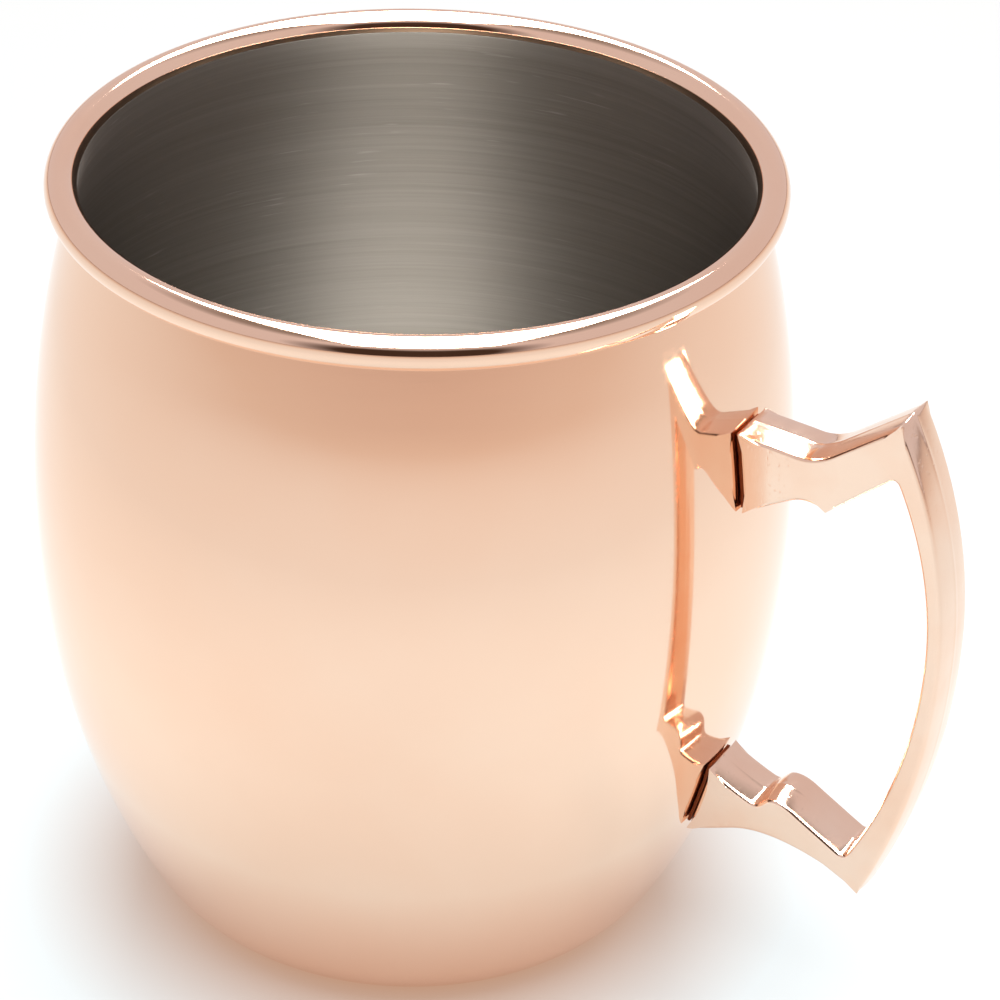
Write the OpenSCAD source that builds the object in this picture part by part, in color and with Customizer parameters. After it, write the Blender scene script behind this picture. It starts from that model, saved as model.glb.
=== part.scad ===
// Barrel-shaped copper drinking mug with a steel lining and a cast strap handle.
// Millimetres. +Z is up, the origin is on the mug's axis at the standing plane,
// and the handle points along +X.

/* [Barrel] */
// Overall height, from the standing plane to the top of the rolled lip
mug_h = 99.8; // [84:0.2:120]
// Outside diameter at the belly, the widest part of the wall
belly_d = 91.2; // [86:0.2:110]
// Height of the belly above the standing plane
belly_z = 58; // [48:0.5:70]
// Outside diameter of the neck, where the wall meets the rolled lip
neck_d = 80.6; // [68:0.2:84]
// Length of the straight cone just below the lip
neck_straight = 8.7; // [2:0.1:14]
// Radius of the first, tight bend beside the standing circle
foot_r = 9; // [5:0.5:12]
// Radius of the rounder bend above it
heel_r = 17.4; // [12:0.2:21]
// Radius of the long flank between the heel and the belly
flank_r = 93.8; // [78:0.2:113]

/* [Sheet metal] */
// Thickness of the copper sheet
shell_t = 0.5; // [0.4:0.05:1]
// Thickness of the steel lining
liner_t = 0.4; // [0.3:0.05:0.8]
// Clearance between the copper and the lining
nest_gap = 0.03; // [0.02:0.01:0.1]

/* [Rolled lip] */
// Width of the lip's section
lip_w = 3.8; // [3.2:0.1:5]
// Height of the lip's section
lip_h = 4; // [3.4:0.1:5]
// How far the middle of the lip stands outside the neck
lip_out = 0.8; // [0.6:0.05:1.1]
// Drop from the middle of the lip to the lining's top edge, where the copper ends
seam_drop = 0.1; // [0:0.05:1.3]

/* [Handle] */
// Width of the handle, across its flat sides
handle_w = 7; // [5:0.1:10]
// Thickness of the grip, between its inner and outer faces
grip_t = 2.5; // [2:0.1:5]
// Reach of the grip's outer face beyond the belly
grip_reach = 25.8; // [22:0.1:34]
// Drop from the lip's top to the top of the upper foot
upper_foot_drop = 20.7; // [16:0.1:26]
// Height of the upper foot, up and down the wall
upper_foot_h = 10.9; // [9:0.1:14]
// Height of the lower foot's bottom edge above the standing plane
lower_foot_z = 22.2; // [18:0.1:28]
// Height of the lower foot, up and down the wall
lower_foot_h = 10.3; // [8.6:0.1:13]
// Distance of the two waists beyond the belly
waist_out = 7.6; // [6.4:0.1:9]
// Distance of the upper corner beyond the belly
corner_out = 18.4; // [15.7:0.1:20]
// Distance of the lower tip beyond the belly
tip_out = 18.1; // [15.7:0.1:20]
// Rise of the upper corner above the upper foot
corner_rise = 7.2; // [5:0.1:9]
// Drop from the upper corner to the crest of the grip's bow
crest_drop = 29.3; // [24:0.1:36]
// Radius that rounds the upper corner and the lower tip
corner_round = 0.6; // [0.4:0.1:0.8]

/* [Brazed joints] */
// Gap between each foot and the wall, which the braze fills
braze_gap = 0.2; // [0.15:0.05:0.5]
// How far the braze stays back from the edges of a foot
braze_inset = 0.7; // [0.4:0.1:1.4]

/* [Hidden] */
round_fn = 128;
curve_steps = 7;

belly_r = belly_d / 2;
neck_r = neck_d / 2;

// Headings, up from level, at which one bend of the wall hands over to the next
foot_turn = 33.3;
heel_turn = 62.5;
flank_turn = 80.7;

// The rolled lip is an oval ring. The neck ends where it meets the oval's underside.
lip_a = lip_w / 2;
lip_b = lip_h / 2;
lip_r = neck_r + lip_out;
lip_z = mug_h - lip_b;
lip_start = -acos(-lip_out / lip_a);
neck_z = lip_z + lip_b * sin(lip_start);
seam_z = lip_z - seam_drop;

// The upper wall leaves the belly upright and leans in by neck_lean at the lip.
neck_lean = 2 * atan((belly_r - neck_r) / (neck_z - belly_z + neck_straight));
upper_r = (neck_z - belly_z - neck_straight * cos(neck_lean)) / sin(neck_lean);

// The bend under the belly takes up the height that the lower bends leave.
low_rise = foot_r * (1 - cos(foot_turn)) + heel_r * (cos(foot_turn) - cos(heel_turn))
    + flank_r * (cos(heel_turn) - cos(flank_turn));
under_r = (belly_z - low_rise) / cos(flank_turn);

// Each bend of the wall: its radius, and its headings at the start and the end
bends = [
    [foot_r, 0, foot_turn],
    [heel_r, foot_turn, heel_turn],
    [flank_r, heel_turn, flank_turn],
    [under_r, flank_turn, 90],
    [upper_r, 90, 90 + neck_lean]
];

function reach_of(bend) = bend[0] * (sin(bend[2]) - sin(bend[1]));
function rise_of(bend) = bend[0] * (cos(bend[1]) - cos(bend[2]));
function sum(values, last) = last < 0 ? 0 : values[last] + sum(values, last - 1);

reaches = [for (bend = bends) reach_of(bend)];
rises = [for (bend = bends) rise_of(bend)];
base_r = belly_r - sum(reaches, 3);

function bend_centre(i) = [
    base_r + sum(reaches, i - 1) - bends[i][0] * sin(bends[i][1]),
    sum(rises, i - 1) + bends[i][0] * cos(bends[i][1])
];

function bend_points(i, inset) = [
    for (k = [0 : curve_steps])
        let (turn = bends[i][1] + (bends[i][2] - bends[i][1]) * k / curve_steps)
        let (r = bends[i][0] - inset)
        bend_centre(i) + r * [sin(turn), -cos(turn)]
];

// The wall's section from the axis to the neck, set in by inset along its normal
function wall(inset) = concat(
    [[0, inset]],
    bend_points(0, inset),
    [for (i = [1 : 4]) for (k = [1 : curve_steps]) bend_points(i, inset)[k]],
    [[neck_r - inset * cos(neck_lean), neck_z - inset * sin(neck_lean)]]
);

function reversed(points) = [for (i = [len(points) - 1 : -1 : 0]) points[i]];

// Points on the lip's oval, set in by inset, from its neck round to the seam
function lip_oval(inset, from, to, steps) = [
    for (k = [0 : steps])
        let (turn = from + (to - from) * k / steps)
        [lip_r + (lip_a - inset) * cos(turn), lip_z + (lip_b - inset) * sin(turn)]
];

// Turn of the oval at which it reaches the seam, on its inner side. A thick sheet
// in a low lip would close on itself, so the turn stops short of the underside.
function seam_turn(inset) = 180 + asin(min(0.85, seam_drop / (lip_b - inset)));

// A curve from start to end that is pulled towards one point
function pulled(start, pull, end) = [
    for (k = [0 : curve_steps])
        let (t = k / curve_steps)
        (1 - t) * (1 - t) * start + 2 * t * (1 - t) * pull + t * t * end
];

// An arc that is upright at crest and passes through end
function bow(crest, end) =
    let (across = crest[0] - end[0])
    let (along = end[1] - crest[1])
    let (r = (across * across + along * along) / (2 * across))
    [
        for (k = [0 : 2 * curve_steps])
            let (turn = asin(along / r) * k / (2 * curve_steps))
            [crest[0] - r + r * cos(turn), crest[1] + r * sin(turn)]
    ];

// Key points of the handle's side view, as distance from the axis and height
upper_foot_z = mug_h - upper_foot_drop;
waist_r = belly_r + waist_out;
corner_r = belly_r + corner_out;
tip_r = belly_r + tip_out;
upper_corner = [corner_r, upper_foot_z + corner_rise];
lower_tip = [tip_r, lower_foot_z - 1];
upper_crook = [corner_r - 0.3, upper_foot_z - 0.4];
lower_crook = [tip_r - 2.4, lower_foot_z + 4.2];
outer_crest = [belly_r + grip_reach, upper_corner[1] - crest_drop];
inner_crest = outer_crest - [grip_t, 0];
root_r = belly_r - 12;

// The outer side of the handle, from the upper foot over the grip to the lower foot
outer_side = concat(
    [[root_r, upper_foot_z]],
    pulled([waist_r - 2.2, upper_foot_z - 0.4], [waist_r + 0.3, upper_foot_z - 0.85],
           [waist_r + 2.6, upper_foot_z + 0.9]),
    reversed(bow(outer_crest, upper_corner)),
    bow(outer_crest, lower_tip),
    pulled([waist_r + 5.5, lower_foot_z + 1.4], [waist_r - 2, lower_foot_z + 3.8],
           [waist_r - 6.4, lower_foot_z + 2]),
    [[waist_r - 11.4, lower_foot_z], [root_r, lower_foot_z]]
);

// The finger side, from the lower foot round the inside of the grip to the upper foot
finger_side = concat(
    [[root_r, lower_foot_z + lower_foot_h + 4]],
    pulled([waist_r - 10, lower_foot_z + lower_foot_h], [waist_r - 7, lower_foot_z + 8.4],
           [waist_r - 3.6, lower_foot_z + 7.2]),
    pulled([waist_r - 2.4, lower_foot_z + 8.5], [waist_r - 0.6, lower_foot_z + 9.4],
           [waist_r + 2.1, lower_foot_z + 7.6]),
    reversed(bow(inner_crest, lower_crook)),
    bow(inner_crest, upper_crook),
    [[waist_r + 2.6, upper_foot_z - 7.4]],
    pulled([waist_r + 1.8, upper_foot_z - 7], [waist_r - 0.2, upper_foot_z - 6.2],
           [waist_r - 1.8, upper_foot_z - 7.2]),
    [[belly_r - 0.5, upper_foot_z - upper_foot_h]],
    [[root_r, upper_foot_z - upper_foot_h]]
);

module copper_section() {
    polygon(concat(
        wall(0),
        lip_oval(0, lip_start, seam_turn(0), 6 * curve_steps),
        reversed(lip_oval(shell_t, lip_start, seam_turn(shell_t), 6 * curve_steps)),
        reversed(wall(shell_t))
    ));
}

module liner_section() {
    outer_inset = shell_t + nest_gap;
    collar_r = lip_r + lip_a * cos(seam_turn(0));
    polygon(concat(
        wall(outer_inset),
        [[collar_r + liner_t, seam_z - nest_gap], [collar_r, seam_z - nest_gap]],
        reversed(wall(outer_inset + liner_t))
    ));
}

// Everything inside the wall's outer face, grown outwards by gap
module barrel_block(gap) {
    rotate_extrude($fn = round_fn)
        polygon(concat(wall(-gap), [[0, neck_z]]));
}

// A layer of braze on the wall between two heights, as wide as the handle less its inset
module braze_pad(low_z, high_z) {
    pad_w = handle_w - 2 * braze_inset;
    intersection() {
        difference() {
            barrel_block(braze_gap);
            barrel_block(0);
        }
        translate([root_r - 4, -pad_w / 2, low_z + braze_inset])
            cube([24, pad_w, high_z - low_z - 2 * braze_inset]);
    }
}

module copper_shell() {
    color("#D98A66")
        rotate_extrude($fn = round_fn)
        copper_section();
}

module steel_liner() {
    color("#A59C92")
        rotate_extrude($fn = round_fn)
        liner_section();
}

module handle() {
    color("#E8B090")
        difference() {
            rotate([90, 0, 0])
                linear_extrude(height = handle_w, center = true)
                offset(r = corner_round, $fn = 24)
                offset(delta = -corner_round)
                polygon(concat(outer_side, finger_side));
            barrel_block(braze_gap);
        }
}

module upper_braze() {
    color("#8A4A2E")
        braze_pad(upper_foot_z - upper_foot_h, upper_foot_z);
}

module lower_braze() {
    color("#8A4A2E")
        braze_pad(lower_foot_z, lower_foot_z + lower_foot_h);
}

copper_shell();
steel_liner();
handle();
upper_braze();
lower_braze();
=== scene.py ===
"""A barrel-shaped copper mug with a steel lining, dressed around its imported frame.

The frame gives the mug's place and overall size. The classes below turn the same
section and outline as the frame's into finely stepped metal, and give each piece its
finish. Lengths are in metres, and a value marked mm is turned into metres where used.
"""

import logging
import math
from dataclasses import dataclass
from enum import Enum

import bmesh
import bpy
from mathutils import Matrix, Vector, noise
from mathutils.geometry import delaunay_2d_cdt


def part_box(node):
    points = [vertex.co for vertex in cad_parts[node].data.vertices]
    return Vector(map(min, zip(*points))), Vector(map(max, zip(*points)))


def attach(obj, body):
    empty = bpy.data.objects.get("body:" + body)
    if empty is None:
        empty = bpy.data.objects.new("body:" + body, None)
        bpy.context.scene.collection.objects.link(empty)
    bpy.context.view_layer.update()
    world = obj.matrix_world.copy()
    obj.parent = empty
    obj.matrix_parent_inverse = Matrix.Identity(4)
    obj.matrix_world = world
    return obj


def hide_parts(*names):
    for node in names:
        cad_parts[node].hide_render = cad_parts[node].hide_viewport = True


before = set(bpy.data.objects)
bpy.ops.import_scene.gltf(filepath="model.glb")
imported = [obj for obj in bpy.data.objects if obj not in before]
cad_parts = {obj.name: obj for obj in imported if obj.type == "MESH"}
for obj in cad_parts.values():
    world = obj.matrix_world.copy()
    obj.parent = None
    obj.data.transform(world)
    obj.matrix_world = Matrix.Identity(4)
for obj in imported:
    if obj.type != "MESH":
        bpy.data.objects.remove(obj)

LOG = logging.getLogger("copper_mug")
MM = 0.001
ROOT = "root"
TINY = 1e-6
Point = tuple[float, float]
Waves = tuple[float, float, float]
Colour = tuple[float, float, float, float]


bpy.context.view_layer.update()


class NoiseScale(Enum):
    """How coarse a surface's unevenness is, in waves per metre."""

    BROAD = 28.0
    MIDDLE = 90.0
    CAST = 160.0
    FINE = 420.0
    PIT = 1500.0


# ---------------------------------------------------------------------------
# Node helpers
# ---------------------------------------------------------------------------


class Graph:
    """A shading tree, with short ways to add nodes and join them."""

    def __init__(self, owner: bpy.types.Material | bpy.types.World) -> None:
        """Empty the owner's tree but for an output.

        Args:
            owner: the material or world that the tree belongs to.
        """
        owner.use_nodes = True
        self.owner = owner
        self.tree = owner.node_tree
        self.tree.nodes.clear()
        kind = "World" if isinstance(owner, bpy.types.World) else "Material"
        self.output = self.tree.nodes.new("ShaderNodeOutput" + kind)

    @classmethod
    def material(cls, name: str) -> "Graph":
        """Start the tree of a new material."""
        return cls(bpy.data.materials.new(name))

    def add(self, kind: str, settings: dict | None = None, **values: object) -> bpy.types.Node:
        """Add a node.

        Args:
            kind: the node's type name, without its ShaderNode prefix.
            settings: the node's own properties.
            **values: input values or sockets to join, by input name with _ for a space.

        Returns:
            The new node.
        """
        node = self.tree.nodes.new("ShaderNode" + kind)
        for key, value in (settings or {}).items():
            setattr(node, key, value)
        for key, value in values.items():
            self.feed(node.inputs[key.replace("_", " ")], value)
        return node

    def feed(self, socket: bpy.types.NodeSocket, value: object) -> None:
        """Give a socket a plain value, or join another socket to it."""
        if isinstance(value, bpy.types.NodeSocket):
            self.tree.links.new(value, socket)
        else:
            socket.default_value = value

    def math(self, operation: str, first: object, second: object = 0.0) -> bpy.types.NodeSocket:
        """The result of one sum on two values or sockets."""
        node = self.add("Math", {"operation": operation})
        self.feed(node.inputs[0], first)
        self.feed(node.inputs[1], second)
        return node.outputs[0]

    def ramp(self, value: object, low: float, high: float, start: float,
             end: float) -> bpy.types.NodeSocket:
        """A value carried from one range, start to end, into another, low to high."""
        node = self.add("MapRange", {"clamp": True})
        for key, number in (("Value", value), ("From Min", start), ("From Max", end)):
            self.feed(node.inputs[key], number)
        self.feed(node.inputs["To Min"], low)
        self.feed(node.inputs["To Max"], high)
        return node.outputs["Result"]

    def mix(self, amount: object, first: Colour, second: Colour) -> bpy.types.NodeSocket:
        """A colour between two others."""
        node = self.add("Mix", {"data_type": "RGBA"})
        self.feed(node.inputs[0], amount)
        self.feed(node.inputs[6], first)
        self.feed(node.inputs[7], second)
        return node.outputs[2]

    def place(self) -> bpy.types.NodeSocket:
        """The object's own coordinates, in metres."""
        return self.add("TexCoord").outputs["Object"]

    def stretched(self, scale: Waves) -> bpy.types.NodeSocket:
        """The object's coordinates, scaled along each axis."""
        node = self.add("Mapping", Vector=self.place())
        node.inputs["Scale"].default_value = scale
        return node.outputs["Vector"]

    def noise(self, vector: bpy.types.NodeSocket, scale: float, detail: float = 2.0,
              roughness: float = 0.5) -> bpy.types.NodeSocket:
        """A soft random value from 0 to 1."""
        node = self.add("TexNoise", Vector=vector, Scale=scale, Detail=detail, Roughness=roughness)
        return node.outputs["Fac"]

    def bump(self, height: object, distance: float,
             normal: bpy.types.NodeSocket | None = None) -> bpy.types.NodeSocket:
        """A bumped normal from a height of 0 to 1, times a distance in metres."""
        node = self.add("Bump", Height=height, Distance=distance, Strength=1.0)
        if normal is not None:
            self.feed(node.inputs["Normal"], normal)
        return node.outputs["Normal"]

    def finish(self, shader: bpy.types.Node) -> bpy.types.Material | bpy.types.World:
        """Join the shader to the output and return the tree's owner."""
        self.tree.links.new(shader.outputs[0], self.output.inputs["Surface"])
        return self.owner


# ---------------------------------------------------------------------------
# Finishes
# ---------------------------------------------------------------------------


@dataclass(frozen=True)
class PolishedCopper:
    """Mirror-polished sheet copper, with slow ripples and hairline rubbing."""

    name: str = "polished_copper"
    bright: Colour = (0.925, 0.665, 0.510, 1.0)
    warm: Colour = (0.915, 0.630, 0.470, 1.0)
    roughness: float = 0.055
    haze: float = 0.05
    rub_waves: Waves = (60.0, 60.0, 900.0)
    ripple_mm: float = 0.010

    def material(self) -> bpy.types.Material:
        """Build the finish.

        Returns:
            The material.
        """
        graph = Graph.material(self.name)
        place = graph.place()
        tint = graph.noise(place, NoiseScale.BROAD.value, 3.0)
        rub = graph.noise(graph.stretched(self.rub_waves), 1.0, 4.0, 0.7)
        ripple = graph.noise(place, NoiseScale.MIDDLE.value, 1.0)
        shader = graph.add(
            "BsdfPrincipled",
            Metallic=1.0,
            Base_Color=graph.mix(graph.ramp(tint, 0.0, 1.0, 0.35, 0.65), self.bright, self.warm),
            Roughness=graph.ramp(rub, self.roughness, self.roughness + self.haze, 0.4, 0.8),
            Normal=graph.bump(ripple, self.ripple_mm * MM),
        )
        return graph.finish(shader)


@dataclass(frozen=True)
class CastCopper:
    """A polished casting: softer reflections, hairline rubbing and small pits."""

    name: str = "cast_copper"
    bright: Colour = (0.925, 0.700, 0.560, 1.0)
    warm: Colour = (0.905, 0.620, 0.465, 1.0)
    roughness: float = 0.09
    haze: float = 0.10
    rub_waves: Waves = (500.0, 120.0, 120.0)
    ripple_mm: float = 0.020
    pit_mm: float = 0.010

    def material(self) -> bpy.types.Material:
        """Build the finish.

        Returns:
            The material.
        """
        graph = Graph.material(self.name)
        place = graph.place()
        tint = graph.noise(place, NoiseScale.MIDDLE.value, 3.0)
        rub = graph.noise(graph.stretched(self.rub_waves), 1.0, 4.0, 0.7)
        ripple = graph.noise(place, NoiseScale.CAST.value, 1.5)
        pits = graph.ramp(graph.noise(place, NoiseScale.PIT.value, 2.0), 0.0, 1.0, 0.62, 0.75)
        normal = graph.bump(ripple, self.ripple_mm * MM)
        shader = graph.add(
            "BsdfPrincipled",
            Metallic=1.0,
            Base_Color=graph.mix(graph.ramp(tint, 0.0, 1.0, 0.35, 0.7), self.bright, self.warm),
            Roughness=graph.ramp(rub, self.roughness, self.roughness + self.haze, 0.4, 0.8),
            Normal=graph.bump(pits, -self.pit_mm * MM, normal),
        )
        return graph.finish(shader)


@dataclass(frozen=True)
class BrushedLining:
    """Stainless steel brushed round the wall, so that it shines in upright bands.

    Its colours are less than half as light as real steel's, to suit the studio's strong light.
    """

    name: str = "brushed_lining"
    bright: Colour = (0.262, 0.241, 0.210, 1.0)
    dull: Colour = (0.214, 0.193, 0.165, 1.0)
    scuff: Colour = (0.36, 0.34, 0.31, 1.0)
    smoothest: float = 0.49
    roughest: float = 0.61
    anisotropy: float = 0.93
    quarter_turn: float = 0.25
    grain_waves: Point = (60.0, 9000.0)
    band_waves: Point = (16.0, 1500.0)
    mark_waves: Point = (130.0, 2600.0)
    grain_mm: float = 0.003

    def material(self) -> bpy.types.Material:
        """Build the finish.

        Returns:
            The material.
        """
        graph = Graph.material(self.name)
        grain = graph.noise(self.brushed(graph, *self.grain_waves), 1.0, 4.0, 0.7)
        bands = graph.noise(self.brushed(graph, *self.band_waves), 1.0, 4.0, 0.65)
        marks = graph.noise(self.brushed(graph, *self.mark_waves), 1.0, 2.0, 0.5)
        patch = graph.noise(graph.place(), NoiseScale.MIDDLE.value, 1.0)
        scuffs = graph.math("MULTIPLY", graph.ramp(marks, 0.0, 1.0, 0.64, 0.76),
                            graph.ramp(patch, 0.0, 0.7, 0.50, 0.62))
        tone = graph.mix(graph.ramp(bands, 0.0, 1.0, 0.25, 0.75), self.bright, self.dull)
        tangent = graph.add("Tangent", {"direction_type": "RADIAL", "axis": "Z"}).outputs[0]
        shader = graph.add(
            "BsdfPrincipled",
            Metallic=1.0,
            Anisotropic=self.anisotropy,
            Anisotropic_Rotation=self.quarter_turn,
            Tangent=tangent,
            Base_Color=graph.mix(scuffs, tone, self.scuff),
            Roughness=graph.ramp(grain, self.smoothest, self.roughest, 0.3, 0.7),
            Normal=graph.bump(graph.math("ADD", grain, bands), self.grain_mm * MM),
        )
        return graph.finish(shader)

    def brushed(self, graph: Graph, across: float, along: float) -> bpy.types.NodeSocket:
        """Coordinates drawn out along the brushing.

        Args:
            graph: the tree to add to.
            across: waves per metre round the wall.
            along: waves per metre up the wall.

        Returns:
            The stretched coordinates.
        """
        height = graph.add("Attribute", {"attribute_name": "along"}).outputs["Fac"]
        split = graph.add("SeparateXYZ", Vector=graph.place())
        return graph.add(
            "CombineXYZ",
            X=graph.math("MULTIPLY", split.outputs["X"], across),
            Y=graph.math("MULTIPLY", split.outputs["Y"], across),
            Z=graph.math("MULTIPLY", height, along),
        ).outputs[0]


@dataclass(frozen=True)
class BrazeWithPaintedShade:
    """Braze in the joints under the feet, coloured deep dark orange as painted shade in the narrow gap
    between each foot and the wall.
    """

    name: str = "braze_painted_joint_shade"
    # deep orange tones that paint the shade inside each joint's gap
    dark: Colour = (0.16, 0.035, 0.012, 1.0)
    light: Colour = (0.32, 0.09, 0.035, 1.0)
    grain_mm: float = 0.02

    def material(self) -> bpy.types.Material:
        """Build the finish.

        Returns:
            The material.
        """
        graph = Graph.material(self.name)
        patch = graph.noise(graph.place(), NoiseScale.FINE.value, 3.0)
        shader = graph.add(
            "BsdfPrincipled",
            Metallic=1.0,
            Base_Color=graph.mix(patch, self.dark, self.light),
            Roughness=graph.ramp(patch, 0.35, 0.65, 0.2, 0.8),
            Normal=graph.bump(patch, self.grain_mm * MM),
        )
        return graph.finish(shader)


@dataclass(frozen=True)
class GlowingSheet:
    """The matt sheet that the mug stands on, with a painted glow that changes away from the mug.

    The glow paints a warm shadow at the foot and a brighter ring just beyond it that lifts the shade
    round the base. It is neutral near the mug and warm again further out, as painted light for the
    copper to reflect, and it fades dark at the far edge, all in metres.
    """

    name: str = "sheet_painted_glow"
    colour: Colour = (0.07, 0.07, 0.07, 1.0)
    # painted warm shadow round the mug's base
    foot: Colour = (0.50, 0.27, 0.16, 1.0)
    # painted light: a brighter ring that lifts the shade beside the base
    painted_light_ring: Colour = (0.61, 0.66, 0.67, 1.0)
    # painted glow, neutral near the mug and warm further out for the copper's reflections, dark at the
    # sheet's far edge
    near: Colour = (0.46, 0.48, 0.48, 1.0)
    middle: Colour = (0.42, 0.30, 0.22, 1.0)
    far: Colour = (0.50, 0.36, 0.29, 1.0)
    edge: Colour = (0.16, 0.10, 0.08, 1.0)
    painted_shade_fade_start: float = 0.025
    painted_shade_fade_end: float = 0.050
    painted_light_ring_fade_start: float = 0.08
    near_reach: float = 0.22
    middle_reach: float = 0.75
    far_reach: float = 1.4
    edge_start: float = 1.7
    edge_reach: float = 3.2

    def material(self) -> bpy.types.Material:
        """Build the finish, whose glow follows the distance from the middle.

        Returns:
            The material.
        """
        graph = Graph.material(self.name)
        away = graph.add("VectorMath", {"operation": "LENGTH"})
        graph.feed(away.inputs[0], graph.place())
        # start from the painted foot shadow and blend outwards ring by ring
        tone = self.foot
        rings = ((self.painted_shade_fade_start, self.painted_shade_fade_end, self.painted_light_ring),
                 (self.painted_light_ring_fade_start, self.near_reach, self.near),
                 (self.near_reach, self.middle_reach, self.middle),
                 (self.middle_reach, self.far_reach, self.far),
                 (self.edge_start, self.edge_reach, self.edge))
        for start, full, glow in rings:
            share = graph.ramp(away.outputs["Value"], 0.0, 1.0, start, full)
            tone = graph.mix(share, tone, glow)
        shader = graph.add("BsdfPrincipled", Base_Color=self.colour, Roughness=0.9,
                           Emission_Color=tone, Emission_Strength=1.0)
        return graph.finish(shader)


@dataclass(frozen=True)
class Tent:
    """The pale tent around the mug: dim above, and dark where its front is open."""

    name: str = "tent"
    wall: Colour = (0.74, 0.67, 0.69, 1.0)
    roof: Colour = (0.28, 0.24, 0.22, 1.0)
    opening: Colour = (0.06, 0.035, 0.025, 1.0)
    roof_start: float = 0.72
    roof_full: float = 0.90
    slope: float = 0.25
    opening_start: float = 0.80
    opening_full: float = 0.95
    lintel_start: float = 0.52
    lintel_full: float = 0.72

    def world(self, turn: float) -> bpy.types.World:
        """Build the tent's glow.

        Args:
            turn: the heading of the opening's middle, in degrees from the -Y axis.

        Returns:
            The world.
        """
        graph = Graph(bpy.data.worlds.new(self.name))
        way = graph.add("SeparateXYZ", Vector=graph.add("NewGeometry").outputs["Incoming"]).outputs
        front = math.radians(turn)
        across = graph.math("MULTIPLY", way["X"], -math.sin(front))
        ahead = graph.math("ADD", across, graph.math("MULTIPLY", way["Y"], math.cos(front)))
        lift = graph.math("ABSOLUTE", way["Z"])
        near = graph.math("ADD", ahead, graph.math("MULTIPLY", lift, self.slope))
        roof = graph.ramp(lift, 0.0, 1.0, self.roof_start, self.roof_full)
        width = graph.ramp(near, 0.0, 1.0, self.opening_start, self.opening_full)
        below = graph.ramp(lift, 1.0, 0.0, self.lintel_start, self.lintel_full)
        gap = graph.math("MULTIPLY", width, below)
        tone = graph.mix(gap, graph.mix(roof, self.wall, self.roof), self.opening)
        return graph.finish(graph.add("Background", Color=tone, Strength=1.0))


# ---------------------------------------------------------------------------
# Mesh helpers
# ---------------------------------------------------------------------------


def linked(name: str, mesh: bpy.types.Mesh) -> bpy.types.Object:
    """Put a mesh in the scene as an object at the origin."""
    piece = bpy.data.objects.new(name, mesh)
    bpy.context.scene.collection.objects.link(piece)
    return piece


def face_outwards(mesh: bpy.types.Mesh, merge: float = 1e-7) -> None:
    """Join a closed mesh's doubles and turn its faces outwards.

    Args:
        mesh: the mesh to mend.
        merge: how near two points are to be one, in metres.
    """
    shape = bmesh.new()
    shape.from_mesh(mesh)
    bmesh.ops.remove_doubles(shape, verts=shape.verts, dist=merge)
    bmesh.ops.dissolve_degenerate(shape, edges=shape.edges, dist=merge)
    bmesh.ops.recalc_face_normals(shape, faces=shape.faces)
    shape.to_mesh(mesh)
    shape.free()


def smooth_under(mesh: bpy.types.Mesh, degrees: float) -> None:
    """Shade a mesh smooth, but keep edges sharper than an angle."""
    for face in mesh.polygons:
        face.use_smooth = True
    mesh.set_sharp_from_angle(angle=math.radians(degrees))


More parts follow.
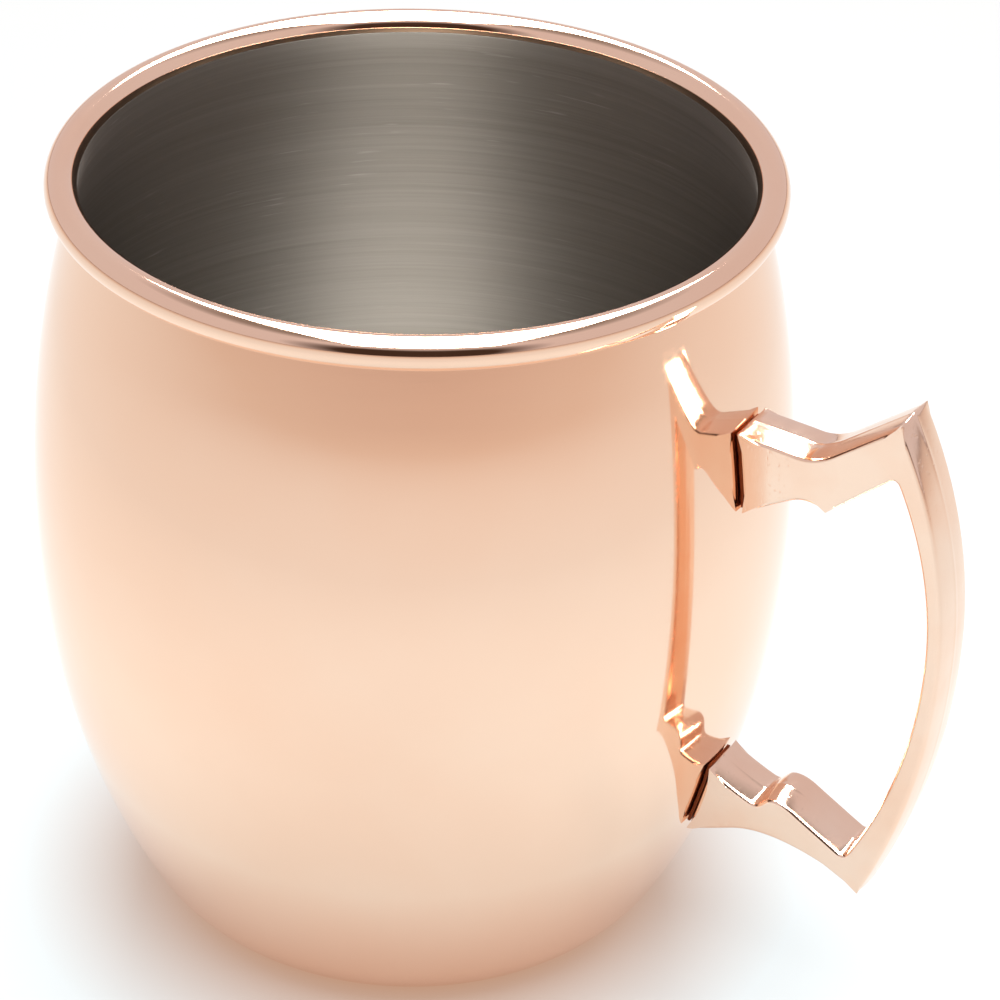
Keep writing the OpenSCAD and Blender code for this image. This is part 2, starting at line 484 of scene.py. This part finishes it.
class Lathe:
    """A node tree that turns a section about the upright axis."""

    AXIS_CLEARANCE = 1.0
    SEAM_MERGE = 1e-6

    def __init__(self) -> None:
        """Build the tree, with named inputs for its steps and its material."""
        tree = bpy.data.node_groups.new("turned_on_the_axis", "GeometryNodeTree")
        face = tree.interface
        face.new_socket(name="Geometry", in_out="INPUT", socket_type="NodeSocketGeometry")
        steps = face.new_socket(name="Steps Round", in_out="INPUT", socket_type="NodeSocketInt")
        radius = face.new_socket(name="Path Radius", in_out="INPUT", socket_type="NodeSocketFloat")
        metal = face.new_socket(name="Metal", in_out="INPUT", socket_type="NodeSocketMaterial")
        face.new_socket(name="Geometry", in_out="OUTPUT", socket_type="NodeSocketGeometry")
        self.steps_id, self.radius_id, self.metal_id = (s.identifier for s in (steps, radius, metal))
        start = tree.nodes.new("NodeGroupInput")
        section = tree.nodes.new("GeometryNodeMeshToCurve")
        length = tree.nodes.new("GeometryNodeSplineParameter")
        store = tree.nodes.new("GeometryNodeStoreNamedAttribute")
        store.data_type = "FLOAT"
        store.inputs["Name"].default_value = "along"
        circle = tree.nodes.new("GeometryNodeCurvePrimitiveCircle")
        sweep = tree.nodes.new("GeometryNodeCurveToMesh")
        merge = tree.nodes.new("GeometryNodeMergeByDistance")
        merge.inputs["Distance"].default_value = self.SEAM_MERGE
        real = tree.nodes.new("GeometryNodeRealizeInstances")
        dress = tree.nodes.new("GeometryNodeSetMaterial")
        end = tree.nodes.new("NodeGroupOutput")
        join = tree.links.new
        join(start.outputs["Geometry"], section.inputs[0])
        join(section.outputs[0], store.inputs["Geometry"])
        join(length.outputs["Length"], store.inputs["Value"])
        join(start.outputs["Steps Round"], circle.inputs["Resolution"])
        join(start.outputs["Path Radius"], circle.inputs["Radius"])
        join(circle.outputs[0], sweep.inputs["Curve"])
        join(store.outputs[0], sweep.inputs["Profile Curve"])
        join(sweep.outputs[0], merge.inputs[0])
        join(merge.outputs[0], real.inputs[0])
        join(real.outputs[0], dress.inputs["Geometry"])
        join(start.outputs["Metal"], dress.inputs["Material"])
        join(dress.outputs[0], end.inputs[0])
        self.tree = tree

    def turned(self, name: str, section: list[Point], steps: int,
               metal: bpy.types.Material) -> bpy.types.Object:
        """Turn a section into a closed piece.

        Args:
            name: the piece's name.
            section: distance from the axis and height of each point, axis to axis.
            steps: how many steps the turn has.
            metal: the piece's material.

        Returns:
            The piece, as a plain mesh at the origin.
        """
        outline = bpy.data.meshes.new(name + "_section")
        points = [(r - self.AXIS_CLEARANCE, -z, 0.0) for r, z in section]
        outline.from_pydata(points, [(i, i + 1) for i in range(len(points) - 1)], [])
        blank = linked(name + "_blank", outline)
        turn = blank.modifiers.new("turn", "NODES")
        turn.node_group = self.tree
        turn[self.steps_id] = steps
        turn[self.radius_id] = self.AXIS_CLEARANCE
        turn[self.metal_id] = metal
        ready = blank.evaluated_get(bpy.context.evaluated_depsgraph_get())
        mesh = bpy.data.meshes.new_from_object(ready)
        mesh.name = name
        blank.modifiers.remove(turn)
        bpy.data.objects.remove(blank)
        face_outwards(mesh)
        return linked(name, mesh)


# ---------------------------------------------------------------------------
# The barrel: its section, the copper shell and the steel lining
# ---------------------------------------------------------------------------


@dataclass(frozen=True)
class Bend:
    """One round stretch of the wall's section: its radius and its headings in degrees."""

    radius: float
    start: float
    end: float

    @property
    def reach(self) -> float:
        """How far the bend carries the wall outwards."""
        return self.radius * (math.sin(math.radians(self.end)) - math.sin(math.radians(self.start)))

    @property
    def rise(self) -> float:
        """How far the bend carries the wall upwards."""
        return self.radius * (math.cos(math.radians(self.start)) - math.cos(math.radians(self.end)))


@dataclass
class BarrelSection:
    """The upright half section of the mug, in mm, as the frame has it."""

    height: float
    belly_r: float
    belly_z: float = 58.0
    neck_r: float = 40.3
    neck_straight: float = 8.7
    foot_r: float = 9.0
    heel_r: float = 17.4
    flank_r: float = 93.8
    foot_turn: float = 33.3
    heel_turn: float = 62.5
    flank_turn: float = 80.7
    shell_t: float = 0.5
    liner_t: float = 0.4
    nest_gap: float = 0.03
    lip_w: float = 3.8
    lip_h: float = 4.0
    lip_out: float = 0.8
    seam_drop: float = 0.1
    seam_most: float = 0.85
    rim_ease: float = 0.1
    floor_steps: int = 6
    bend_steps: int = 16
    neck_steps: int = 6
    lip_steps: int = 80
    hollow_steps: int = 24

    def __post_init__(self) -> None:
        """Work out the neck's lean and each bend of the wall."""
        self.lip_a = self.lip_w / 2
        self.lip_b = self.lip_h / 2
        self.lip_r = self.neck_r + self.lip_out
        self.lip_z = self.height - self.lip_b
        self.lip_start = -math.degrees(math.acos(-self.lip_out / self.lip_a))
        self.neck_z = self.lip_z + self.lip_b * math.sin(math.radians(self.lip_start))
        rise = self.neck_z - self.belly_z
        self.lean = 2 * math.atan((self.belly_r - self.neck_r) / (rise + self.neck_straight))
        upper_r = (rise - self.neck_straight * math.cos(self.lean)) / math.sin(self.lean)
        low = [
            Bend(self.foot_r, 0.0, self.foot_turn),
            Bend(self.heel_r, self.foot_turn, self.heel_turn),
            Bend(self.flank_r, self.heel_turn, self.flank_turn),
        ]
        left = self.belly_z - sum(bend.rise for bend in low)
        under_r = left / math.cos(math.radians(self.flank_turn))
        low.append(Bend(under_r, self.flank_turn, 90.0))
        self.bends = low + [Bend(upper_r, 90.0, 90.0 + math.degrees(self.lean))]
        self.base_r = self.belly_r - sum(bend.reach for bend in low)

    def wall(self, inset: float) -> list[Point]:
        """The wall from the axis to the neck, set in along its normal.

        Args:
            inset: how far the line lies inside the wall's outer face, in mm.

        Returns:
            Distance from the axis and height of each point, in mm.
        """
        points = [(self.base_r * i / self.floor_steps, inset) for i in range(self.floor_steps)]
        r, z = self.base_r, 0.0
        for bend in self.bends:
            start = math.radians(bend.start)
            centre_r = r - bend.radius * math.sin(start)
            centre_z = z + bend.radius * math.cos(start)
            for step in range(self.bend_steps + 1):
                turn = math.radians(bend.start + (bend.end - bend.start) * step / self.bend_steps)
                away = bend.radius - inset
                points.append((centre_r + away * math.sin(turn), centre_z - away * math.cos(turn)))
            r += bend.reach
            z += bend.rise
        end = (self.neck_r - inset * math.cos(self.lean), self.neck_z - inset * math.sin(self.lean))
        last, count = points[-1], self.neck_steps
        points += [(last[0] + (end[0] - last[0]) * i / count, last[1] + (end[1] - last[1]) * i / count)
                   for i in range(1, count + 1)]
        return [p for i, p in enumerate(points) if i == 0 or math.dist(p, points[i - 1]) > TINY]

    def radius_at(self, height: float, grow: float = 0.0) -> float:
        """The wall's outer radius at a height, grown outwards along its normal, in mm."""
        r, z = self.base_r, 0.0
        for bend in self.bends:
            turn = math.radians(bend.start)
            centre_r = r - bend.radius * math.sin(turn)
            centre_z = z + bend.radius * math.cos(turn)
            r += bend.reach
            z += bend.rise
            if height <= z:
                away = bend.radius + grow
                return centre_r + math.sqrt(max(away ** 2 - (height - centre_z) ** 2, 0.0))
        return r + grow / math.cos(self.lean) - (height - z) * math.tan(self.lean)

    def lip_oval(self, inset: float, steps: int) -> list[Point]:
        """The rolled lip's oval from the neck over the top to the seam, set in by inset."""
        drop = min(self.seam_most, self.seam_drop / (self.lip_b - inset))
        end = 180.0 + math.degrees(math.asin(drop))
        turns = [math.radians(self.lip_start + (end - self.lip_start) * i / steps)
                 for i in range(steps + 1)]
        return [(self.lip_r + (self.lip_a - inset) * math.cos(t),
                 self.lip_z + (self.lip_b - inset) * math.sin(t)) for t in turns]

    def copper(self) -> list[Point]:
        """The copper sheet's whole section, from the axis and back to it."""
        return (self.wall(0.0) + self.lip_oval(0.0, self.lip_steps)
                + self.lip_oval(self.shell_t, self.hollow_steps)[::-1]
                + self.wall(self.shell_t)[::-1])

    def lining(self) -> list[Point]:
        """The steel lining's whole section, from the axis and back to it."""
        outer = self.shell_t + self.nest_gap
        collar_r = self.lip_oval(0.0, 1)[-1][0]
        top = self.lip_z - self.seam_drop - self.nest_gap
        eased = self.rim_ease
        return (self.wall(outer)
                + [(collar_r + self.liner_t, top - eased), (collar_r + self.liner_t - eased, top),
                   (collar_r + eased, top), (collar_r, top - eased)]
                + self.wall(outer + self.liner_t)[::-1])


def metres(points: list[Point]) -> list[Point]:
    """Points in mm turned into metres."""
    return [(r * MM, z * MM) for r, z in points]


@dataclass
class Barrel:
    """The nested copper shell and steel lining."""

    section: BarrelSection
    lathe: Lathe
    steps_round: int = 256
    sharp_over: float = 38.0

    def shell(self, finish: PolishedCopper) -> bpy.types.Object:
        """Turn the copper sheet with its rolled lip.

        Args:
            finish: the copper's finish.

        Returns:
            The piece, standing for the frame's shell.
        """
        piece = self.lathe.turned("shell_and_lip", metres(self.section.copper()),
                                  self.steps_round, finish.material())
        smooth_under(piece.data, self.sharp_over)
        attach(piece, ROOT)
        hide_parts("copper_shell")
        return piece

    def lining(self, finish: BrushedLining) -> bpy.types.Object:
        """Turn the steel lining.

        Args:
            finish: the steel's finish.

        Returns:
            The piece, standing for the frame's liner.
        """
        piece = self.lathe.turned("steel_lining", metres(self.section.lining()),
                                  self.steps_round, finish.material())
        smooth_under(piece.data, self.sharp_over)
        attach(piece, ROOT)
        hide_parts("steel_liner")
        return piece


# ---------------------------------------------------------------------------
# The handle
# ---------------------------------------------------------------------------


def pulled(start: Point, pull: Point, end: Point, steps: int = 40) -> list[Point]:
    """A curve from start to end that is pulled towards one point."""
    points = []
    for step in range(steps + 1):
        t = step / steps
        a, b, c = (1 - t) ** 2, 2 * t * (1 - t), t ** 2
        points.append((a * start[0] + b * pull[0] + c * end[0],
                       a * start[1] + b * pull[1] + c * end[1]))
    return points


def bow(crest: Point, end: Point, steps: int = 160) -> list[Point]:
    """An arc that is upright at its crest and passes through its end."""
    across, along = crest[0] - end[0], end[1] - crest[1]
    radius = (across ** 2 + along ** 2) / (2 * across)
    turn = math.asin(along / radius)
    return [(crest[0] - radius + radius * math.cos(turn * i / steps),
             crest[1] + radius * math.sin(turn * i / steps)) for i in range(steps + 1)]


def evenly(points: list[Point], gap: float) -> list[Point]:
    """A closed line's points, spread evenly about one gap apart."""
    closed = points + [points[0]]
    marks = [0.0]
    for a, b in zip(closed, closed[1:]):
        marks.append(marks[-1] + math.dist(a, b))
    count = round(marks[-1] / gap)
    spread, at = [], 0
    for step in range(count):
        mark = marks[-1] * step / count
        while marks[at + 1] < mark:
            at += 1
        t = (mark - marks[at]) / max(marks[at + 1] - marks[at], 1e-9)
        a, b = closed[at], closed[at + 1]
        spread.append((a[0] + (b[0] - a[0]) * t, a[1] + (b[1] - a[1]) * t))
    return spread


def softened(points: list[Point], gap: float, reach: float) -> list[Point]:
    """An even closed line with its corners eased over a reach, both in mm."""
    span = math.ceil(3 * reach / gap)
    weights = [math.exp(-0.5 * (i * gap / reach) ** 2) for i in range(-span, span + 1)]
    total, count = sum(weights), len(points)
    eased = []
    for at in range(count):
        near = [points[(at + i) % count] for i in range(-span, span + 1)]
        eased.append((sum(w * p[0] for w, p in zip(weights, near)) / total,
                      sum(w * p[1] for w, p in zip(weights, near)) / total))
    return eased


def inward(points: list[Point]) -> list[Point]:
    """The direction into a closed line, run anticlockwise, at each of its points."""
    count = len(points)
    ways = []
    for at in range(count):
        a, b = points[at - 1], points[(at + 1) % count]
        dx, dz = b[0] - a[0], b[1] - a[1]
        size = math.hypot(dx, dz) or 1.0
        ways.append((-dz / size, dx / size))
    return ways


def inset_room(ways: list[Point], gap: float, share: float = 0.45, slope: float = 0.18,
               most: float = 9.0) -> list[float]:
    """How far each point of a closed line may be set in before its neighbours cross.

    Args:
        ways: the direction into the line at each point.
        gap: the distance from point to point, in mm.
        share: how much of a corner's own radius may be used.
        slope: how fast the room grows away from a corner.
        most: the room where the line is straight or turns outwards, in mm.

    Returns:
        The room at each point, in mm.
    """
    count = len(ways)
    room = []
    for at in range(count):
        a, b = ways[at - 1], ways[(at + 1) % count]
        turn = (a[0] * b[1] - a[1] * b[0]) / (2 * gap)
        room.append(share / turn if turn > TINY else most)
    for _ in range(2):
        for at in range(count):
            room[at] = min(room[at], room[at - 1] + slope * gap)
        for at in range(count - 1, -1, -1):
            room[at] = min(room[at], room[(at + 1) % count] + slope * gap)
    return room


@dataclass
class StrapHandle:
    """The cast handle's side view and section, in mm."""

    section: BarrelSection
    width: float = 7.0
    grip_t: float = 2.5
    grip_reach: float = 25.8
    upper_foot_drop: float = 20.7
    upper_foot_h: float = 10.9
    lower_foot_z: float = 22.2
    lower_foot_h: float = 10.3
    waist_out: float = 7.6
    corner_out: float = 18.4
    tip_out: float = 18.1
    corner_rise: float = 7.2
    crest_drop: float = 29.3
    joint_gap: float = 0.2
    point_gap: float = 0.18
    corner_ease: float = 0.34
    edge_round: float = 0.42
    flat_band: float = 0.12
    draft: float = 0.04
    crown: float = 0.30
    ridge: float = 0.03
    ridge_w: float = 0.25
    edge_steps: int = 6
    face_shares: tuple[float, ...] = (0.75, 0.6, 0.45, 0.3, 0.18)
    foot_blend: float = 3.0
    sharp_over: float = 50.0

    def outline(self) -> list[Point]:
        """The handle's closed side view, with its feet on the wall."""
        belly = self.section.belly_r
        top_z = self.section.height - self.upper_foot_drop
        low_z = self.lower_foot_z
        waist = belly + self.waist_out
        corner = (belly + self.corner_out, top_z + self.corner_rise)
        tip = (belly + self.tip_out, low_z - 1.0)
        upper_crook = (belly + self.corner_out - 0.3, top_z - 0.4)
        lower_crook = (belly + self.tip_out - 2.4, low_z + 4.2)
        crest = (belly + self.grip_reach, corner[1] - self.crest_drop)
        inner = (crest[0] - self.grip_t, crest[1])
        under = self.wall_crossing((waist - 1.8, top_z - 7.2), (belly - 0.5, top_z - self.upper_foot_h))
        outer_side = (
            self.foot_end(under, top_z)
            + pulled((waist - 2.2, top_z - 0.4), (waist + 0.3, top_z - 0.85),
                     (waist + 2.6, top_z + 0.9))
            + bow(crest, corner)[::-1]
            + bow(crest, tip)
            + pulled((waist + 5.5, low_z + 1.4), (waist - 2, low_z + 3.8),
                     (waist - 6.4, low_z + 2))
            + [(waist - 11.4, low_z)]
        )
        low_top = (waist - 10, low_z + self.lower_foot_h)
        finger_side = (
            self.foot_end(low_z, self.wall_crossing(low_top, (belly - 12, low_top[1] + 4)))
            + [p for p in pulled(low_top, (waist - 7, low_z + 8.4), (waist - 3.6, low_z + 7.2))
               if p[0] > self.wall_r(p[1]) + 0.05]
            + pulled((waist - 2.4, low_z + 8.5), (waist - 0.6, low_z + 9.4),
                     (waist + 2.1, low_z + 7.6))
            + bow(inner, lower_crook)[::-1]
            + bow(inner, upper_crook)
            + [(waist + 2.6, top_z - 7.4)]
            + pulled((waist + 1.8, top_z - 7), (waist - 0.2, top_z - 6.2),
                     (waist - 1.8, top_z - 7.2))
        )
        return outer_side + finger_side

    def wall_r(self, height: float) -> float:
        """How far from the axis a foot stops at a height."""
        return self.section.radius_at(height, self.joint_gap)

    def wall_crossing(self, start: Point, end: Point, steps: int = 600) -> float:
        """The height at which a foot's edge, run from start to end, meets the wall.

        Args:
            start: a point of the edge outside the wall or on it.
            end: a point of the edge inside the wall.
            steps: how finely the edge is searched.

        Returns:
            The height, in mm.
        """
        for step in range(steps + 1):
            t = step / steps
            r, z = start[0] + (end[0] - start[0]) * t, start[1] + (end[1] - start[1]) * t
            if r <= self.wall_r(z):
                return z
        return end[1]

    def foot_end(self, low: float, high: float, steps: int = 60) -> list[Point]:
        """A foot's end face along the wall, from its low edge to its high edge."""
        heights = [low + (high - low) * i / steps for i in range(steps + 1)]
        return [(self.wall_r(z), z) for z in heights]

    def insets(self) -> list[Point]:
        """The section across the strap: how far off the middle, and how far set in.

        Returns:
            The rows from one flat side to the other, in mm.
        """
        half = self.width / 2
        turns = [math.pi / 2 * i / self.edge_steps for i in range(self.edge_steps + 1)]
        side = [(half, self.draft + self.crown + self.edge_round + self.flat_band)]
        for t in turns:
            y = half - self.edge_round * (1 - math.cos(t))
            side.append((y, self.edge_round * (1 - math.sin(t)) + self.bulge(y)))
        for share in self.face_shares:
            side.append((half * share, self.bulge(half * share)))
        side += [(self.ridge_w, self.ridge), (self.ridge_w * 0.5, self.ridge * 0.3)]
        return side + [(0.0, 0.0)] + [(-y, d) for y, d in side[::-1]]

    def bulge(self, y: float) -> float:
        """How far the crowned narrow faces fall away at a distance off the middle, in mm."""
        return self.ridge + (self.crown + self.draft) * (2 * y / self.width) ** 2

    def build(self, finish: CastCopper) -> bpy.types.Object:
        """Stack the outline's rings across the width and close the flat sides.

        Args:
            finish: the casting's finish.

        Returns:
            The piece, standing for the frame's handle.
        """
        line = evenly(self.outline()[::-1], self.point_gap)
        line = evenly(softened(line, self.point_gap, self.corner_ease), self.point_gap)
        ways = inward(line)
        room = inset_room(ways, self.point_gap)
        near = [max(0.0, 1 - (r - self.wall_r(z)) / self.foot_blend) for r, z in line]
        shape = bmesh.new()
        rings = []
        for y, inset in self.insets():
            ring = []
            for (r, z), (wr, wz), most, close in zip(line, ways, room, near):
                deep = min(inset, most)
                reach = self.wall_r(z)
                curl = (reach - math.sqrt(reach ** 2 - y ** 2)) * close
                ring.append(shape.verts.new(Vector((r + wr * deep - curl, y, z + wz * deep)) * MM))
            rings.append(ring)
        for a, b in zip(rings, rings[1:]):
            for i in range(len(line)):
                shape.faces.new((a[i - 1], a[i], b[i], b[i - 1]))
        for ring in (rings[0], rings[-1]):
            flat = [Vector((v.co.x, v.co.z)) / MM for v in ring]
            sides = [(i, (i + 1) % len(flat)) for i in range(len(flat))]
            for a, b, c in delaunay_2d_cdt(flat, sides, [], 1, TINY)[2]:
                shape.faces.new((ring[a], ring[b], ring[c]))
        bmesh.ops.recalc_face_normals(shape, faces=shape.faces)
        mesh = bpy.data.meshes.new("strap_handle")
        shape.to_mesh(mesh)
        shape.free()
        mesh.materials.append(finish.material())
        smooth_under(mesh, self.sharp_over)
        piece = linked("strap_handle", mesh)
        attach(piece, ROOT)
        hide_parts("handle")
        return piece


@dataclass
class BrazedJoint:
    """One layer of braze between the wall and a foot, in mm."""

    section: BarrelSection
    name: str
    low: float
    high: float
    half_w: float
    gap: float = 0.2
    clearance: float = 0.004
    inset: float = 0.7
    steps: int = 24
    wander_waves: Waves = (2.3, 4.1, 7.0)
    wander: float = 0.12
    narrowing: float = 0.97
    sharp_over: float = 40.0

    def build(self, finish: bpy.types.Material) -> bpy.types.Object:
        """Make the layer, with a slightly wandering edge.

        Args:
            finish: the braze's material.

        Returns:
            The piece, standing for the frame's pad of the same name.
        """
        shape = bmesh.new()
        layers = []
        low, high, half = self.low + self.inset, self.high - self.inset, self.half_w - self.inset
        across, along, seed = self.wander_waves
        for grow in (self.clearance, self.gap - self.clearance):
            rows = []
            for i in range(self.steps + 1):
                row = []
                for j in range(self.steps + 1):
                    u, v = 2 * j / self.steps - 1, i / self.steps
                    drift = noise.noise(Vector((u * across, v * along, seed))) * self.wander
                    y = half * u * (self.narrowing - abs(drift) * abs(u))
                    z = low + (high - low) * v
                    r = self.section.radius_at(z, grow)
                    row.append(shape.verts.new(Vector((math.sqrt(r ** 2 - y ** 2), y, z)) * MM))
                rows.append(row)
            layers.append(rows)
        count = self.steps
        for rows in layers:
            for i in range(count):
                for j in range(count):
                    shape.faces.new((rows[i][j], rows[i][j + 1], rows[i + 1][j + 1], rows[i + 1][j]))
        edge = ([(0, j) for j in range(count)] + [(i, count) for i in range(count)]
                + [(count, j) for j in range(count, 0, -1)] + [(i, 0) for i in range(count, 0, -1)])
        for (i0, j0), (i1, j1) in zip(edge, edge[1:] + edge[:1]):
            a, b = layers
            shape.faces.new((a[i0][j0], a[i1][j1], b[i1][j1], b[i0][j0]))
        bmesh.ops.recalc_face_normals(shape, faces=shape.faces)
        mesh = bpy.data.meshes.new(self.name)
        shape.to_mesh(mesh)
        shape.free()
        mesh.materials.append(finish)
        smooth_under(mesh, self.sharp_over)
        piece = linked(self.name + "_layer", mesh)
        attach(piece, ROOT)
        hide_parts(self.name)
        return piece


# ---------------------------------------------------------------------------
# The studio: sheet, lights and camera
# ---------------------------------------------------------------------------


@dataclass
class Studio:
    """A glowing sheet in a pale tent, with one long soft light overhead."""

    view_turn: float = 30.7
    sheet_size: float = 9.0
    light_w: float = 0.80
    light_l: float = 2.06
    light_h: float = 1.15
    light_back: float = 0.17
    light_aside: float = 0.05
    light_glow: float = 21.5

    def build(self) -> None:
        """Lay the sheet, hang the light and put up the tent."""
        half = self.sheet_size / 2
        mesh = bpy.data.meshes.new("sheet")
        corners = [(-half, -half, 0.0), (half, -half, 0.0), (half, half, 0.0), (-half, half, 0.0)]
        mesh.from_pydata(corners, [], [(0, 1, 2, 3)])
        mesh.materials.append(GlowingSheet().material())
        linked("sheet", mesh)
        lamp = bpy.data.lights.new("overhead", "AREA")
        lamp.shape = "RECTANGLE"
        lamp.size = self.light_w
        lamp.size_y = self.light_l
        lamp.energy = self.light_glow * math.pi * self.light_w * self.light_l
        hung = bpy.data.objects.new("overhead", lamp)
        turn = Matrix.Rotation(math.radians(self.view_turn), 4, "Z")
        hung.matrix_world = turn @ Matrix.Translation((self.light_aside, self.light_back, self.light_h))
        bpy.context.scene.collection.objects.link(hung)
        bpy.context.scene.world = Tent().world(self.view_turn)
        bpy.context.scene.view_settings.view_transform = "Standard"


@dataclass
class ViewCamera:
    """A long-lens camera that looks down on the mug from the handle's front."""

    turn: float = 30.54
    rise: float = 32.484
    distance: float = 0.477
    aim_z: float = 0.048
    pan: float = -1.262
    tilt: float = 0.600
    roll: float = 0.701
    lens: float = 140.5
    sensor_w: float = 36.0
    near_clip: float = 0.02

    def build(self) -> bpy.types.Object:
        """Place the camera.

        Returns:
            The camera object, made the scene's own.
        """
        body = bpy.data.cameras.new("front")
        body.lens = self.lens
        body.sensor_width = self.sensor_w
        body.clip_start = self.near_clip
        camera = bpy.data.objects.new("front", body)
        rise = math.radians(self.rise)
        stand = Vector((0.0, -self.distance * math.cos(rise),
                        self.aim_z + self.distance * math.sin(rise)))
        about = Matrix.Rotation(math.radians(self.turn), 4, "Z")
        look = Matrix.Rotation(math.pi / 2 - rise, 4, "X")
        trim = (Matrix.Rotation(math.radians(self.pan), 4, "Y")
                @ Matrix.Rotation(math.radians(self.tilt), 4, "X")
                @ Matrix.Rotation(math.radians(self.roll), 4, "Z"))
        camera.matrix_world = about @ Matrix.Translation(stand) @ look @ trim
        bpy.context.scene.collection.objects.link(camera)
        bpy.context.scene.camera = camera
        return camera


# ---------------------------------------------------------------------------
# Everything in order
# ---------------------------------------------------------------------------


def measured_section() -> BarrelSection:
    """The barrel's section, sized from the frame's own shell."""
    low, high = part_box("copper_shell")
    return BarrelSection(height=float(high[2] - low[2]) / MM,
                         belly_r=float(high[1] - low[1]) / 2 / MM)


def main() -> None:
    """Build and dress every piece, then the studio around them."""
    logging.basicConfig(level=logging.INFO, format="%(name)s: %(message)s")
    section = measured_section()
    barrel = Barrel(section, Lathe())
    handle = StrapHandle(section)
    braze = BrazeWithPaintedShade().material()
    top = section.height - handle.upper_foot_drop
    low = handle.lower_foot_z
    joints = [
        BrazedJoint(section, "upper_braze", top - handle.upper_foot_h, top, handle.width / 2),
        BrazedJoint(section, "lower_braze", low, low + handle.lower_foot_h, handle.width / 2),
    ]
    made = [barrel.shell(PolishedCopper()), barrel.lining(BrushedLining()),
            handle.build(CastCopper())]
    made += [joint.build(braze) for joint in joints]
    for piece in made:
        LOG.info("built %s with %d faces", piece.name, len(piece.data.polygons))
    Studio().build()
    ViewCamera().build()


if __name__ == "__main__":
    main()
